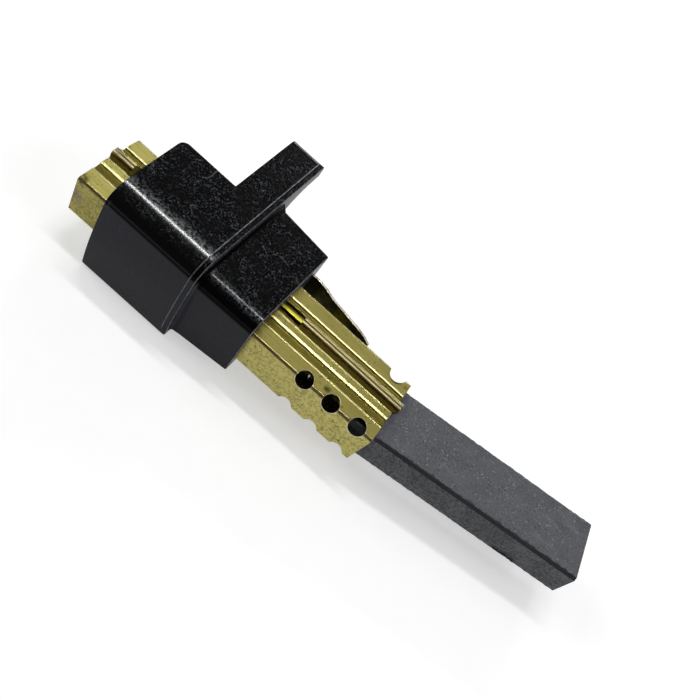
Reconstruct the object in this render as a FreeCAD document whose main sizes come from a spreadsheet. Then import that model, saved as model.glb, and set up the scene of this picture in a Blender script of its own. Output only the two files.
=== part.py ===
# Carbon brush assembly of a universal motor: a phenolic holder, a folded brass tube with a
# corrugated seam side, a contact leaf, and a carbon block fed by a coil spring.
# Frame: X runs along the tube to the carbon, Y to the ear, Z out of the wide front face.
# The origin lies on the holder's back face, midway along the main block, below the tube's axis.
import FreeCAD, Part
import math
import os
import Sketcher
from FreeCAD import Vector, Placement, Rotation

os.makedirs("parts", exist_ok=True)
doc = FreeCAD.newDocument("carbon_brush")

# Driving dimensions in millimetres and degrees
sheet = doc.addObject("Spreadsheet::Sheet", "dims")
DIMS = [
    ("block_length", 16.8),
    ("block_left", 9.3),
    ("block_right", 7.2),
    ("block_height", 18.3),
    ("block_round", 3.7),
    ("side_crown", 0.45),
    ("rim_bevel", 0.6),
    ("ear_length", 6.5),
    ("ear_reach", 23.6),
    ("ear_tip_thick", 2.4),
    ("ear_root_reach", 12.8),
    ("ear_root_thick", 14.3),
    ("ear_hollow_reach", 3.2),
    ("ear_hollow_rise", 2.2),
    ("plug_length", 10.5),
    ("plug_left", 8.35),
    ("plug_right", 12.75),
    ("plug_back", 2.05),
    ("plug_front", 15.95),
    ("plug_draft", 0.5),
    ("plug_round", 2.8),
    ("plug_foot", 0.9),
    ("tube_width", 13.3),
    ("tube_height", 7.6),
    ("tube_base", 4.6),
    ("tube_rear_reach", 6.15),
    ("tube_front_reach", 33.3),
    ("tube_corner", 0.6),
    ("sheet_thick", 0.35),
    ("groove_depth", 0.25),
    ("groove_left_outer", 3.45),
    ("groove_left_inner", 1.45),
    ("groove_right_inner", 2.75),
    ("groove_right_outer", 3.9),
    ("groove_slope", 0.25),
    ("channel_left", 0.3),
    ("channel_right", 1.35),
    ("channel_depth", 0.45),
    ("seam_line", 1.89),
    ("seam_gap", 0.12),
    ("seam_tab", 0.9),
    ("window_left", 0.2),
    ("window_right", 2.5),
    ("window_rear", 3.0),
    ("window_front", 14.4),
    ("hole_front_gap", 2.55),
    ("hole_pitch", 5.15),
    ("hole_count", 3),
    ("hole_radius", 1.4),
    ("scallop_radius", 1.5),
    ("punch_length", 4.0),
    ("stop_tab_width", 7.6),
    ("stop_tab_height", 6.3),
    ("stop_hole_radius", 1.1),
    ("leaf_thick", 0.4),
    ("leaf_width", 6.5),
    ("leaf_base", 5.6),
    ("leaf_offset", 10.0),
    ("slot_wide", 0.7),
    ("slot_high", 6.9),
    ("carbon_length", 43.5),
    ("carbon_width", 11.0),
    ("carbon_thick", 6.3),
    ("carbon_base", 5.05),
    ("carbon_grip", 5.0),
    ("carbon_left", 6.1),
    ("carbon_turn", 8.5),
    ("carbon_chamfer", 0.45),
    ("plug_hole_radius", 1.7),
    ("plug_hole_depth", 5.0),
    ("plug_hole_offset", 5.5),
    ("spring_radius", 2.45),
    ("spring_wire", 0.5),
    ("spring_rear_gap", 0.3),
    ("spring_front_gap", 1.6),
    ("spring_turns", 14),
    ("shunt_radius", 0.55),
    ("shunt_sway", 0.65),
    ("shunt_rear_run", 2.5),
    ("shunt_front_run", 2.0),
    ("bead_radius", 1.9),
    ("bead_thick", 0.6),
]
for row, (alias, number) in enumerate(DIMS, start=1):
    sheet.set("A%d" % row, alias)
    sheet.set("B%d" % row, str(number))
    sheet.setAlias("B%d" % row, alias)
doc.recompute()


# A dimension that carries its number and the spreadsheet expression it comes from
class Dim:
    def __init__(self, value, text):
        self.value = float(value)
        self.text = text

    def __add__(self, other):
        other = as_dim(other)
        return Dim(self.value + other.value, "(%s + %s)" % (self.text, other.text))

    def __sub__(self, other):
        other = as_dim(other)
        return Dim(self.value - other.value, "(%s - %s)" % (self.text, other.text))

    def __mul__(self, other):
        other = as_dim(other)
        return Dim(self.value * other.value, "(%s * %s)" % (self.text, other.text))

    def __truediv__(self, other):
        other = as_dim(other)
        return Dim(self.value / other.value, "(%s / %s)" % (self.text, other.text))

    def __neg__(self):
        return Dim(-self.value, "(0 - %s)" % self.text)

    def __radd__(self, other):
        return as_dim(other) + self

    def __rsub__(self, other):
        return as_dim(other) - self


def as_dim(number):
    if isinstance(number, Dim):
        return number
    return Dim(number, "%.6g" % number)


def dim(alias):
    return Dim(sheet.get(alias), "<<dims>>.%s" % alias)


def bind(obj, prop, size):
    size = as_dim(size)
    obj.setExpression(prop, size.text)


def new_body(label):
    body = doc.addObject("PartDesign::Body", label)
    body.Label = label
    return body


def origin_part(body, role):
    for item in body.Origin.OriginFeatures:
        if item.Role == role:
            return item


def new_sketch(body, name, plane, offset=0):
    sketch = body.newObject("Sketcher::SketchObject", name)
    sketch.AttachmentSupport = [(origin_part(body, plane), "")]
    sketch.MapMode = "FlatFace"
    bind(sketch, "AttachmentOffset.Base.z", offset)
    return sketch


# Dimensions a sketch point from the sketch's own axes
def pin_point(sketch, curve, end, spot):
    for kind, axis, number in (("DistanceX", -2, spot[0]), ("DistanceY", -1, spot[1])):
        number = as_dim(number)
        if abs(number.value) < 1e-9:
            sketch.addConstraint(Sketcher.Constraint("PointOnObject", curve, end, axis))
            continue
        place = sketch.addConstraint(Sketcher.Constraint(kind, -1, 1, curve, end, number.value))
        sketch.setExpression("Constraints[%d]" % place, number.text)


# Closed outline: points are (x, y) or (x, y, bulge x, bulge y) for an arc to the next point
def outline(sketch, points):
    count = len(points)
    numbers = [[as_dim(n).value for n in point] for point in points]
    first = sketch.GeometryCount
    for i in range(count):
        a = Vector(numbers[i][0], numbers[i][1], 0)
        b = Vector(numbers[(i + 1) % count][0], numbers[(i + 1) % count][1], 0)
        if len(points[i]) == 4:
            middle = Vector(numbers[i][2], numbers[i][3], 0)
            sketch.addGeometry(Part.Arc(a, middle, b), False)
        else:
            sketch.addGeometry(Part.LineSegment(a, b), False)
    for i in range(count):
        curve = first + i
        a = Vector(numbers[i][0], numbers[i][1], 0)
        end_index = 1
        if len(points[i]) == 4:
            if (sketch.getPoint(curve, 1) - a).Length > 1e-6:
                end_index = 2
        pin_point(sketch, curve, end_index, points[i])
        after = first + (i + 1) % count
        nxt = Vector(numbers[(i + 1) % count][0], numbers[(i + 1) % count][1], 0)
        next_index = 1
        if len(points[(i + 1) % count]) == 4:
            if (sketch.getPoint(after, 1) - nxt).Length > 1e-6:
                next_index = 2
        sketch.addConstraint(Sketcher.Constraint("Coincident", curve, 3 - end_index, after, next_index))
        if len(points[i]) == 4:
            radius = sketch.Geometry[curve].Radius
            sketch.addConstraint(Sketcher.Constraint("Radius", curve, radius))


def circle(sketch, x, y, radius):
    x, y, radius = as_dim(x), as_dim(y), as_dim(radius)
    curve = sketch.addGeometry(Part.Circle(Vector(x.value, y.value, 0), Vector(0, 0, 1), radius.value), False)
    pin_point(sketch, curve, 3, (x, y))
    place = sketch.addConstraint(Sketcher.Constraint("Radius", curve, radius.value))
    sketch.setExpression("Constraints[%d]" % place, radius.text)


def pad(body, sketch, name, length, reverse=False):
    feature = body.newObject("PartDesign::Pad", name)
    feature.Profile = sketch
    bind(feature, "Length", length)
    feature.Reversed = reverse
    sketch.Visibility = False
    return feature


def pocket(body, sketch, name, length, reverse=False):
    feature = body.newObject("PartDesign::Pocket", name)
    feature.Profile = sketch
    bind(feature, "Length", length)
    feature.Reversed = reverse
    sketch.Visibility = False
    return feature


half = dim("block_length") / 2
left = -dim("block_left")
right = dim("block_right")
height = dim("block_height")
tube_half = dim("tube_width") / 2
tube_low = dim("tube_base")
tube_high = dim("tube_base") + dim("tube_height")
wall = dim("sheet_thick")

# Holder moulding: main block with a large round along the left front edge
holder = new_body("holder_body")
block_sketch = new_sketch(holder, "block_outline", "YZ_Plane", -half)
turn = dim("block_round") * (1 - math.sqrt(0.5))
rim = dim("rim_bevel")
outline(block_sketch, [
    (right - rim, 0),
    (right, rim),
    (right, height),
    (left + dim("block_round"), height, left + turn, height - turn),
    (left, height - dim("block_round"), left - dim("side_crown"), height * 0.42),
    (left, rim),
    (left + rim, 0),
])
pad(holder, block_sketch, "block", dim("block_length"))

# The bevel along the front and rear edges of the back face
rim_sketch = new_sketch(holder, "rim_outline", "XZ_Plane", dim("block_left") + 1)
outline(rim_sketch, [
    (half - rim, 0),
    (half, 0),
    (half, rim),
])
outline(rim_sketch, [
    (-half, 0),
    (rim - half, 0),
    (-half, rim),
])
pocket(holder, rim_sketch, "rim_bevel", dim("block_left") + dim("block_right") + 2)

# The ear: a flat tab level with the front face, with a hollowed back that thickens to the root
ear_sketch = new_sketch(holder, "ear_outline", "YZ_Plane", half - dim("ear_length"))
ear_back = height - dim("ear_tip_thick")
root_back = height - dim("ear_root_thick")
outline(ear_sketch, [
    (right - 1, height),
    (right - 1, root_back),
    (dim("ear_root_reach"), root_back, dim("ear_root_reach") + dim("ear_hollow_reach"),
     ear_back - dim("ear_hollow_rise")),
    (dim("ear_reach"), ear_back),
    (dim("ear_reach"), height),
])
pad(holder, ear_sketch, "ear", dim("ear_length"))


# The drafted plug block below the step, standing on a small flared foot
def plug_section(name, place, grow, shrink):
    sketch = new_sketch(holder, name, "YZ_Plane", place)
    low_y = -dim("plug_left") - grow + shrink
    high_y = dim("plug_right") + grow - shrink
    low_z = dim("plug_back") - grow + shrink
    high_z = dim("plug_front") + grow - shrink
    rounding = dim("plug_round")
    corner = rounding * (1 - math.sqrt(0.5))
    outline(sketch, [
        (high_y, low_z),
        (high_y, high_z),
        (low_y + rounding, high_z, low_y + corner, high_z - corner),
        (low_y, high_z - rounding),
        (low_y, low_z),
    ])
    sketch.Visibility = False
    return sketch


zero = as_dim(0)
plug_foot = plug_section("plug_foot_outline", half, dim("plug_foot"), zero)
plug_start = plug_section("plug_start_outline", half + dim("plug_foot"), zero, zero)
plug_end = plug_section("plug_end_outline", half + dim("plug_length"), zero, dim("plug_draft"))
foot_loft = holder.newObject("PartDesign::AdditiveLoft", "plug_foot_flare")
foot_loft.Profile = plug_foot
foot_loft.Sections = [plug_start]
foot_loft.Ruled = True
plug_loft = holder.newObject("PartDesign::AdditiveLoft", "plug_block")
plug_loft.Profile = plug_start
plug_loft.Sections = [plug_end]
plug_loft.Ruled = True

# The passage for the tube and the slot for the leaf
bore_sketch = new_sketch(holder, "tube_passage_outline", "YZ_Plane", -half - 1)
outline(bore_sketch, [
    (-tube_half, tube_low),
    (tube_half, tube_low),
    (tube_half, tube_high),
    (-tube_half, tube_high),
])
pocket(holder, bore_sketch, "tube_passage", dim("block_length") + dim("plug_length") + 2, True)
slot_sketch = new_sketch(holder, "leaf_slot_outline", "YZ_Plane", half - dim("ear_length") - 1)
slot_low = dim("leaf_offset") - dim("slot_wide") / 2
slot_high = dim("leaf_offset") + dim("slot_wide") / 2
slot_base = dim("leaf_base") + dim("leaf_width") / 2 - dim("slot_high") / 2
outline(slot_sketch, [
    (slot_low, slot_base),
    (slot_high, slot_base),
    (slot_high, slot_base + dim("slot_high")),
    (slot_low, slot_base + dim("slot_high")),
])
pocket(holder, slot_sketch, "leaf_slot", dim("ear_length") + dim("plug_length") + 2, True)

# Folded brass tube: one sheet with two shallow grooves, a deeper channel and a butt seam
tube = new_body("brush_tube")
tube_sketch = new_sketch(tube, "sheet_outline", "YZ_Plane", -half - dim("tube_rear_reach"))
corner = dim("tube_corner")
bend = corner * (1 - math.sqrt(0.5))
inner = corner - wall
inner_bend = wall + inner * (1 - math.sqrt(0.5))
dip = tube_high - dim("groove_depth")
slope = dim("groove_slope")
gl_out = -dim("groove_left_outer")
gl_in = -dim("groove_left_inner")
gr_in = dim("groove_right_inner")
gr_out = dim("groove_right_outer")
channel_low = tube_high - dim("channel_depth")
slit_left = dim("seam_line") - dim("seam_gap") / 2
slit_right = dim("seam_line") + dim("seam_gap") / 2
outline(tube_sketch, [
    (slit_left, tube_high - wall),
    (slit_left, tube_high),
    (dim("channel_right"), tube_high),
    (dim("channel_right"), channel_low),
    (dim("channel_left"), channel_low),
    (dim("channel_left"), tube_high),
    (gl_in, tube_high),
    (gl_in - slope, dip),
    (gl_out + slope, dip),
    (gl_out, tube_high),
    (-tube_half + corner, tube_high, -tube_half + bend, tube_high - bend),
    (-tube_half, tube_high - corner),
    (-tube_half, tube_low + corner, -tube_half + bend, tube_low + bend),
    (-tube_half + corner, tube_low),
    (tube_half - corner, tube_low, tube_half - bend, tube_low + bend),
    (tube_half, tube_low + corner),
    (tube_half, tube_high - corner, tube_half - bend, tube_high - bend),
    (tube_half - corner, tube_high),
    (gr_out, tube_high),
    (gr_out - slope, dip),
    (gr_in + slope, dip),
    (gr_in, tube_high),
    (slit_right, tube_high),
    (slit_right, tube_high - wall),
    (gr_in, tube_high - wall),
    (gr_in + slope, dip - wall),
    (gr_out - slope, dip - wall),
    (gr_out, tube_high - wall),
    (tube_half - corner, tube_high - wall, tube_half - inner_bend, tube_high - inner_bend),
    (tube_half - wall, tube_high - corner),
    (tube_half - wall, tube_low + corner, tube_half - inner_bend, tube_low + inner_bend),
    (tube_half - corner, tube_low + wall),
    (-tube_half + corner, tube_low + wall, -tube_half + inner_bend, tube_low + inner_bend),
    (-tube_half + wall, tube_low + corner),
    (-tube_half + wall, tube_high - corner, -tube_half + inner_bend, tube_high - inner_bend),
    (-tube_half + corner, tube_high - wall),
    (gl_out, tube_high - wall),
    (gl_out + slope, dip - wall),
    (gl_in - slope, dip - wall),
    (gl_in, tube_high - wall),
    (dim("channel_left") - wall, tube_high - wall),
    (dim("channel_left") - wall, channel_low - wall),
    (dim("channel_right") + wall, channel_low - wall),
    (dim("channel_right") + wall, tube_high - wall),
])
tube_length = dim("tube_rear_reach") + dim("block_length") + dim("tube_front_reach")
pad(tube, tube_sketch, "folded_sheet", tube_length)

# The rear end's stop tab, bent up from the back wall across the tube, with a hole for the shunt
stop_sketch = new_sketch(tube, "stop_tab_outline", "YZ_Plane", -half - dim("tube_rear_reach"))
stop_half = dim("stop_tab_width") / 2
stop_top = tube_low + dim("stop_tab_height")
outline(stop_sketch, [
    (-stop_half, tube_low),
    (stop_half, tube_low),
    (stop_half, stop_top - 0.8),
    (stop_half - 0.8, stop_top),
    (-stop_half + 0.8, stop_top),
    (-stop_half, stop_top - 0.8),
])
axis_high = tube_low + dim("tube_height") / 2
circle(stop_sketch, 0, axis_high, dim("stop_hole_radius"))
pad(tube, stop_sketch, "stop_tab", wall)

# Both edges of the seam run a little past the tube's ends as small tabs
for name, start, length in (
    ("rear_tab", -half - dim("tube_rear_reach") - dim("seam_tab"), dim("seam_tab") + 0.4),
    ("front_tab", half + dim("tube_front_reach") - 0.4, dim("seam_tab") + 0.4),
):
    for side, low, high in (
        ("left", dim("channel_right"), slit_left),
        ("right", slit_right, dim("window_right")),
    ):
        tab_sketch = new_sketch(tube, "%s_%s_outline" % (name, side), "YZ_Plane", start)
        outline(tab_sketch, [
            (low, tube_high - wall),
            (high, tube_high - wall),
            (high, tube_high),
            (low, tube_high),
        ])
        pad(tube, tab_sketch, "%s_%s" % (name, side), length)

# The window cut in the seam under the holder, open a little way past both of its ends
window_sketch = new_sketch(tube, "window_outline", "XY_Plane", channel_low - wall - 0.2)
window_low = -half - dim("window_rear")
window_high = half + dim("window_front")
outline(window_sketch, [
    (window_low, -dim("window_left")),
    (window_high, -dim("window_left")),
    (window_high, dim("window_right")),
    (window_low, dim("window_right")),
])
pocket(tube, window_sketch, "seam_window", 2, True)


# Round holes punched across the tube's creases, square to the corner
def punch(name, x, y, z, radius, angle):
    tool = tube.newObject("PartDesign::SubtractiveCylinder", name)
    tool.AttachmentSupport = [(origin_part(tube, "XY_Plane"), "")]
    tool.MapMode = "FlatFace"
    tool.AttachmentOffset = Placement(Vector(0, 0, 0), Rotation(Vector(1, 0, 0), angle))
    bind(tool, "Radius", radius)
    bind(tool, "Height", dim("punch_length"))
    run = Rotation(Vector(1, 0, 0), angle).multVec(Vector(0, 0, -sheet.get("punch_length") / 2))
    bind(tool, "AttachmentOffset.Base.x", x)
    bind(tool, "AttachmentOffset.Base.y", y + run.y)
    bind(tool, "AttachmentOffset.Base.z", z + run.z)
    return tool


last_hole = half + dim("tube_front_reach") - dim("hole_front_gap")
first_hole = last_hole - dim("hole_pitch") * (dim("hole_count") - 1)
for name, y, z, radius, angle in (
    ("front_crease_hole", -tube_half, tube_high, dim("hole_radius"), 45),
    ("back_crease_hole", -tube_half, tube_low, dim("scallop_radius"), -45),
):
    tool = punch(name, first_hole, y, z, radius, angle)
    row = tube.newObject("PartDesign::LinearPattern", name + "_row")
    row.Originals = [tool]
    row.Direction = (origin_part(tube, "X_Axis"), [""])
    bind(row, "Length", dim("hole_pitch") * (dim("hole_count") - 1))
    bind(row, "Occurrences", dim("hole_count"))
    tube.Tip = row
punch("right_crease_hole", last_hole, tube_half, tube_high, dim("scallop_radius"), -45)

# Contact leaf: a bowed strip from the holder's slot to the tube's right side
leaf = new_body("contact_leaf")
leaf_sketch = new_sketch(leaf, "leaf_outline", "XY_Plane", dim("leaf_base"))
gap = dim("leaf_thick") / 2
rest_y = dim("leaf_offset")
tube_side = tube_half
leaf_line = [
    (half - dim("ear_length") + 0.8, rest_y),
    (half + dim("plug_length") + 1.4, rest_y),
    (half + dim("plug_length") + 3.1, rest_y - 0.28),
    (half + dim("plug_length") + 4.6, rest_y - 0.92),
    (half + dim("plug_length") + 7.6, rest_y - 1.48),
    (half + dim("plug_length") + 11.2, rest_y - 2.1),
    (half + dim("plug_length") + 12.7, tube_side + 0.75),
    (half + dim("plug_length") + 13.6, tube_side + 0.21),
]
outline(leaf_sketch, [(x, y - gap) for x, y in leaf_line] + [(x, y + gap) for x, y in reversed(leaf_line)])
pad(leaf, leaf_sketch, "strip", dim("leaf_width"))

# Carbon block: a ground bar with broken long edges and a drilled inner end for the shunt
carbon = new_body("carbon_block")
carbon_sketch = new_sketch(carbon, "carbon_outline", "YZ_Plane", 0)
broken = dim("carbon_chamfer")
width = dim("carbon_width")
thick = dim("carbon_thick")
outline(carbon_sketch, [
    (broken, 0),
    (width - broken, 0),
    (width, broken),
    (width, thick - broken),
    (width - broken, thick),
    (broken, thick),
    (0, thick - broken),
    (0, broken),
])
pad(carbon, carbon_sketch, "bar", dim("carbon_length"))
drill_sketch = new_sketch(carbon, "drill_outline", "YZ_Plane", 0)
circle(drill_sketch, dim("plug_hole_offset"), thick / 2, dim("plug_hole_radius"))
pocket(carbon, drill_sketch, "shunt_hole", dim("plug_hole_depth"), True)

# Tamped plug that locks the shunt in the carbon
plug = doc.addObject("Part::Cylinder", "shunt_plug")
plug.Label = "shunt_plug"
bind(plug, "Radius", dim("plug_hole_radius"))
bind(plug, "Height", dim("plug_hole_depth"))
turned = Rotation(Vector(0, 0, 1), sheet.get("carbon_turn"))
mid = turned.multVec(Vector(0, sheet.get("plug_hole_offset"), 0))
plug.Placement = Placement(Vector(0, 0, 0), turned.multiply(Rotation(Vector(0, 1, 0), 90)))
inner_end = half + dim("tube_front_reach") - dim("carbon_grip")
bind(plug, "Placement.Base.x", inner_end + mid.x)
bind(plug, "Placement.Base.y", mid.y - dim("carbon_left"))
bind(plug, "Placement.Base.z", dim("carbon_base") + thick / 2)
carbon.Placement = Placement(Vector(0, 0, 0), turned)
bind(carbon, "Placement.Base.x", inner_end)
bind(carbon, "Placement.Base.y", -dim("carbon_left"))
bind(carbon, "Placement.Base.z", dim("carbon_base"))

# Coil spring between the stop tab and the carbon: a facetted helix swept with the round wire
spring_start = half + dim("tube_rear_reach") - wall - dim("spring_rear_gap")
spring_length = inner_end - dim("spring_front_gap") + spring_start
coil_path = doc.addObject("Part::Feature", "coil_path")
steps = 14
points = []
for i in range(int(steps * sheet.get("spring_turns")) + 1):
    angle = 2 * math.pi * i / steps
    along = spring_length.value * i / (steps * sheet.get("spring_turns"))
    reach = sheet.get("spring_radius")
    points.append(Vector(along, reach * math.cos(angle), reach * math.sin(angle)))
coil_path.Shape = Part.makePolygon(points)
coil_path.Visibility = False
wire_section = doc.addObject("Part::RegularPolygon", "wire_section")
wire_section.Polygon = 8
bind(wire_section, "Circumradius", dim("spring_wire") / 2)
run = points[1] - points[0]
wire_section.Placement = Placement(Vector(0, 0, 0), Rotation(Vector(0, 0, 1), run))
bind(wire_section, "Placement.Base.y", dim("spring_radius"))
wire_section.Visibility = False
spring = doc.addObject("Part::Sweep", "brush_spring")
spring.Label = "brush_spring"
spring.Sections = [wire_section]
spring.Spine = (coil_path, ["Edge%d" % (i + 1) for i in range(len(points) - 1)])
spring.Solid = True
spring.Frenet = False
spring.Transition = "Right corner"
bind(spring, "Placement.Base.x", -spring_start)
bind(spring, "Placement.Base.z", axis_high)

# Shunt: a flexible copper lead that sways inside the spring and ends in a weld bead at the rear
shunt = new_body("shunt_wire")
path_sketch = new_sketch(shunt, "lead_path", "XY_Plane", 0)
start_x = -half.value - sheet.get("tube_rear_reach") - sheet.get("bead_thick") / 2
end_x = inner_end.value + mid.x - 0.2
end_y = mid.y - sheet.get("carbon_left")
sway = sheet.get("shunt_sway")
rear_run = sheet.get("shunt_rear_run")
front_run = sheet.get("shunt_front_run")
path_points = [Vector(start_x, 0, 0), Vector(start_x + rear_run, 0, 0)]
count = 11
for i in range(1, count):
    x = start_x + rear_run + (end_x - start_x - rear_run - front_run) * i / count
    path_points.append(Vector(x, sway * (1 if i % 2 else -1) + end_y * i / count, 0))
path_points.append(Vector(end_x - 1.2, end_y, 0))
path_points.append(Vector(end_x, end_y, 0))
for a, b in zip(path_points, path_points[1:]):
    path_sketch.addGeometry(Part.LineSegment(a, b), False)
for i in range(len(path_points) - 2):
    path_sketch.addConstraint(Sketcher.Constraint("Coincident", i, 2, i + 1, 1))
path_sketch.Visibility = False
lead_sketch = new_sketch(shunt, "lead_section", "YZ_Plane", start_x)
circle(lead_sketch, 0, 0, dim("shunt_radius"))
lead = shunt.newObject("PartDesign::AdditivePipe", "lead")
lead.Profile = lead_sketch
lead.Spine = (path_sketch, ["Edge%d" % (i + 1) for i in range(len(path_points) - 1)])
lead.Mode = "Standard"
lead.Transition = "Right corner"
bead_sketch = new_sketch(shunt, "bead_outline", "YZ_Plane", -half - dim("tube_rear_reach"))
circle(bead_sketch, 0, 0, dim("bead_radius"))
pad(shunt, bead_sketch, "weld_bead", dim("bead_thick"), True)
bind(shunt, "Placement.Base.z", axis_high)

doc.recompute()

# Every object must have built, and every sub-part must be one valid shape
NODES = [holder, tube, leaf, carbon, plug, spring, shunt]
for item in doc.Objects:
    if "Invalid" in item.State or "Error" in item.State:
        raise RuntimeError("%s did not build: %s" % (item.Name, item.State))
for node in NODES:
    shape = node.Shape
    if shape.isNull() or not shape.isValid():
        raise RuntimeError("%s has no valid shape" % node.Label)
    if len(shape.Solids) != 1:
        raise RuntimeError("%s has %d solids" % (node.Label, len(shape.Solids)))
    box = shape.BoundBox
    print("%-14s volume %9.2f mm3  x %7.2f %7.2f  y %7.2f %7.2f  z %7.2f %7.2f" % (
        node.Label, shape.Volume, box.XMin, box.XMax, box.YMin, box.YMax, box.ZMin, box.ZMax))
for node in NODES:
    node.Shape.exportStep("parts/%s.step" % node.Label)
print("written", len(NODES))
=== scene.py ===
import math

import bpy
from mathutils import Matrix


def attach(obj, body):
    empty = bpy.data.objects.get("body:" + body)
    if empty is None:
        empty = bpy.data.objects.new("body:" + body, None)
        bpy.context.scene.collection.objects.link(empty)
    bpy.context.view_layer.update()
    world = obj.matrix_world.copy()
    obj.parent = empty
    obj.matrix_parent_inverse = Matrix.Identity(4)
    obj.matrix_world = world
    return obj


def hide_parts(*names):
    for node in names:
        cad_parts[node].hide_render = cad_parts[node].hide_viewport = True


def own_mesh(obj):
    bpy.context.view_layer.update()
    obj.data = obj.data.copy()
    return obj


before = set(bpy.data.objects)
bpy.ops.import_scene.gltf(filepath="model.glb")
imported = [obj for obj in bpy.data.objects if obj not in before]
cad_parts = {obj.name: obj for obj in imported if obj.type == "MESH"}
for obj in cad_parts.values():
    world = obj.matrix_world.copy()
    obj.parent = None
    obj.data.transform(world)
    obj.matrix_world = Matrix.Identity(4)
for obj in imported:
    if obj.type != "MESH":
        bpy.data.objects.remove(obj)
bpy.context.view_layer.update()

# Brush tube: one strip of sheet brass folded round the carbon, its edges butted in a seam on
# the wide front side, beside a closed channel. Shallow grooves stiffen that side, and round
# holes are punched through the creases. It is pressed through the holder.
MM = 0.001
tube_half = 6.65
tube_back = 4.6
tube_front = 12.2
tube_rear = -14.55
tube_mouth = 41.7
sheet = 0.25
fold_round = 0.5
groove_deep = 0.25
groove_round = 0.1
# Each groove: its left and right edge, and the width of its gentle fall at either one
left_groove = (-3.74, -1.35, 0.38, 0.5)
right_groove = (2.42, 3.93, 0.28, 0.38)
channel = (0.13, 1.2)
channel_deep = 0.45
channel_round = 0.27
channel_floor_round = 0.04
rim_drop = 0.12
rim_slopes = (0.6, 0.44)
gentle_fall = 0.21
steep_sides = (0.19, 0.17)
seam_edges = (1.83, 1.95)
lip_drop = 0.12
lip_line = 2.15
lip_round = 0.12
window = (-11.4, 22.8)
window_sides = (-0.2, 2.5)
window_round = 0.35
window_deep = 1.2
hole_count = 3
punch_depth = 4
hole_radius = 1.4
scallop_radius = 1.5
rear_scallop = 1.35
scallop_drop = 0.5
last_hole = 39.15
hole_pitch = 5.15
stop_half = 3.8
stop_high = 6.3
stop_hole = 1.1
stop_round = 0.8
slip_length = 6
slip_hold = 0.3
# The sections of the two slips, from the low corner to the high one, and how they are bent
tongue_section = ((1.3, 11.6), (2.6, 11.8))
tongue_bend = (0, 0.3, -0.2)
bent_section = ((-0.4, 11.86), (0.45, 12.1))
bent_lean = (0, 0.1, -0.3)
bent_splay = (0, 0.4, 0)
cut_round = 0.045
cut_turn = 55
slip_round = 0.05
slip_turn = 40
axis_high = 8.4


def make_active(piece):
    bpy.ops.object.select_all(action="DESELECT")
    piece.select_set(True)
    bpy.context.view_layer.objects.active = piece


def open_whole(piece):
    # Selects all of the piece, in edit mode
    make_active(piece)
    bpy.ops.object.mode_set(mode="EDIT")
    bpy.ops.mesh.select_all(action="SELECT")


def bent_line(name, points):
    # Draws one line of edges, starting from a plane merged to a single corner
    bpy.ops.object.select_all(action="DESELECT")
    bpy.ops.mesh.primitive_plane_add(size=1)
    piece = bpy.context.object
    piece.name = name
    piece.data.name = name
    bpy.ops.object.mode_set(mode="EDIT")
    bpy.ops.mesh.select_mode(type="VERT")
    bpy.ops.mesh.merge(type="CENTER")
    bpy.ops.transform.translate(value=points[0])
    for here, there in zip(points, points[1:]):
        step = [b - a for a, b in zip(here, there)]
        bpy.ops.mesh.extrude_region_move(TRANSFORM_OT_translate={"value": step})
    bpy.ops.object.mode_set(mode="OBJECT")
    return piece


def pick(piece, kind, test):
    # Selects only the corners or edges that pass the test, and stays in edit mode
    make_active(piece)
    bpy.ops.object.mode_set(mode="EDIT")
    bpy.ops.mesh.select_mode(type=kind)
    bpy.ops.mesh.select_all(action="DESELECT")
    bpy.ops.object.mode_set(mode="OBJECT")
    mesh = piece.data
    if kind == "VERT":
        for corner in mesh.vertices:
            corner.select = test(corner.co)
    if kind == "EDGE":
        for edge in mesh.edges:
            a, b = (mesh.vertices[i].co for i in edge.vertices)
            edge.select = test(a, b)
    bpy.ops.object.mode_set(mode="EDIT")


def shift(piece, test, step):
    pick(piece, "VERT", test)
    bpy.ops.transform.translate(value=step)
    bpy.ops.object.mode_set(mode="OBJECT")


def round_corners(piece, test, size, steps):
    pick(piece, "VERT", test)
    bpy.ops.mesh.bevel(offset=size, segments=steps, affect="VERTICES")
    bpy.ops.object.mode_set(mode="OBJECT")


def round_edges(piece, test, size, steps, finish=-1):
    pick(piece, "EDGE", test)
    bpy.ops.mesh.bevel(offset=size, segments=steps, affect="EDGES", material=finish)
    bpy.ops.object.mode_set(mode="OBJECT")


def stretch(piece, length):
    # Pulls the whole outline out into a solid or a wall
    open_whole(piece)
    bpy.ops.mesh.extrude_region_move(TRANSFORM_OT_translate={"value": length})
    bpy.ops.object.mode_set(mode="OBJECT")


def face_outwards(piece):
    open_whole(piece)
    bpy.ops.mesh.remove_doubles(threshold=0.001)
    bpy.ops.mesh.normals_make_consistent(inside=False)
    bpy.ops.object.mode_set(mode="OBJECT")


def work(piece, kind, **settings):
    make_active(piece)
    tool = piece.modifiers.new(kind.title(), kind)
    for name, setting in settings.items():
        setattr(tool, name, setting)
    bpy.ops.object.modifier_apply(modifier=tool.name)


def combine(piece, other, operation):
    work(piece, "BOOLEAN", operation=operation, solver="EXACT", object=other)
    bpy.data.objects.remove(other)


def block_between(name, low, high):
    bpy.ops.object.select_all(action="DESELECT")
    middle = [(a + b) / 2 for a, b in zip(low, high)]
    size = [b - a for a, b in zip(low, high)]
    bpy.ops.mesh.primitive_cube_add(size=1, location=middle, scale=size)
    piece = bpy.context.object
    piece.name = name
    piece.data.name = name
    bpy.ops.object.transform_apply(location=True, rotation=True, scale=True)
    return piece


def drill(piece, spot, radius, depth, turn):
    bpy.ops.object.select_all(action="DESELECT")
    bpy.ops.mesh.primitive_cylinder_add(
        vertices=40, radius=radius, depth=depth, location=spot, rotation=turn
    )
    combine(piece, bpy.context.object, "DIFFERENCE")


def near(a, b, reach=0.01):
    return abs(a - b) < reach


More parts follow.
